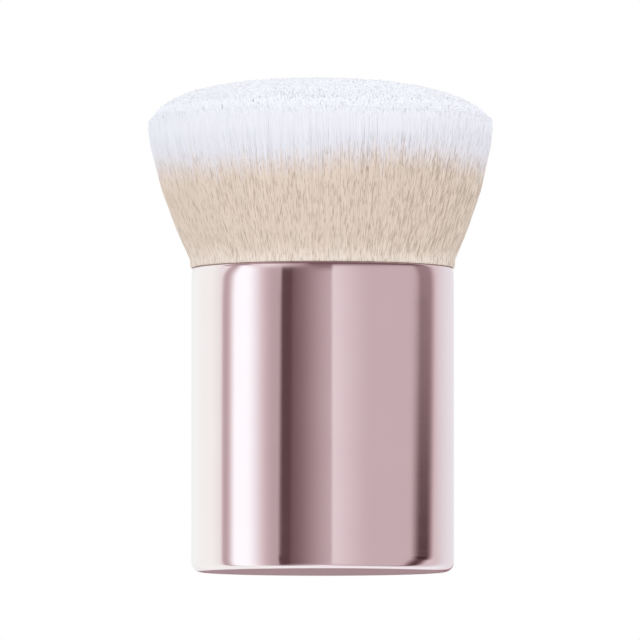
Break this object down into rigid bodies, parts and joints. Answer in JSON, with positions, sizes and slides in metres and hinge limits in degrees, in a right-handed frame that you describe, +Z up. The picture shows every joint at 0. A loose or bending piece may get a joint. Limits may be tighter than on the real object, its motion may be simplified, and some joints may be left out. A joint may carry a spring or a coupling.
{
  "type": "body makeup brush",
  "caption": "Short cylindrical metal handle holding a dense flared brush head with a domed top, for spreading makeup on the body.",
  "frame": {"origin": "centre of the base face, where the brush stands", "axes": "+Z up the handle's axis, from the base to the top of the bristle head"},
  "size_m": [0.0518, 0.0518, 0.075],
  "materials": {
    "rose_metal": "polished rose pink",
    "foam": "dark closed-cell foam",
    "steel": "plain turned steel",
    "core_plastic": "natural moulded plastic",
    "cup_metal": "plain drawn",
    "bristles": "soft synthetic filaments, cream with white tips"
  },
  "bodies": {
    "root": {"handle_shell": "rose_metal", "foam_pad": "foam", "base_weight": "steel", "core_plug": "core_plastic", "bristle_cup": "cup_metal", "bristle_bundle_centre": "bristles", "bristle_bundle_1": "bristles", "bristle_bundle_2": "bristles", "bristle_bundle_3": "bristles", "bristle_bundle_4": "bristles", "bristle_bundle_5": "bristles", "bristle_bundle_6": "bristles"}
  },
  "joints": []
}
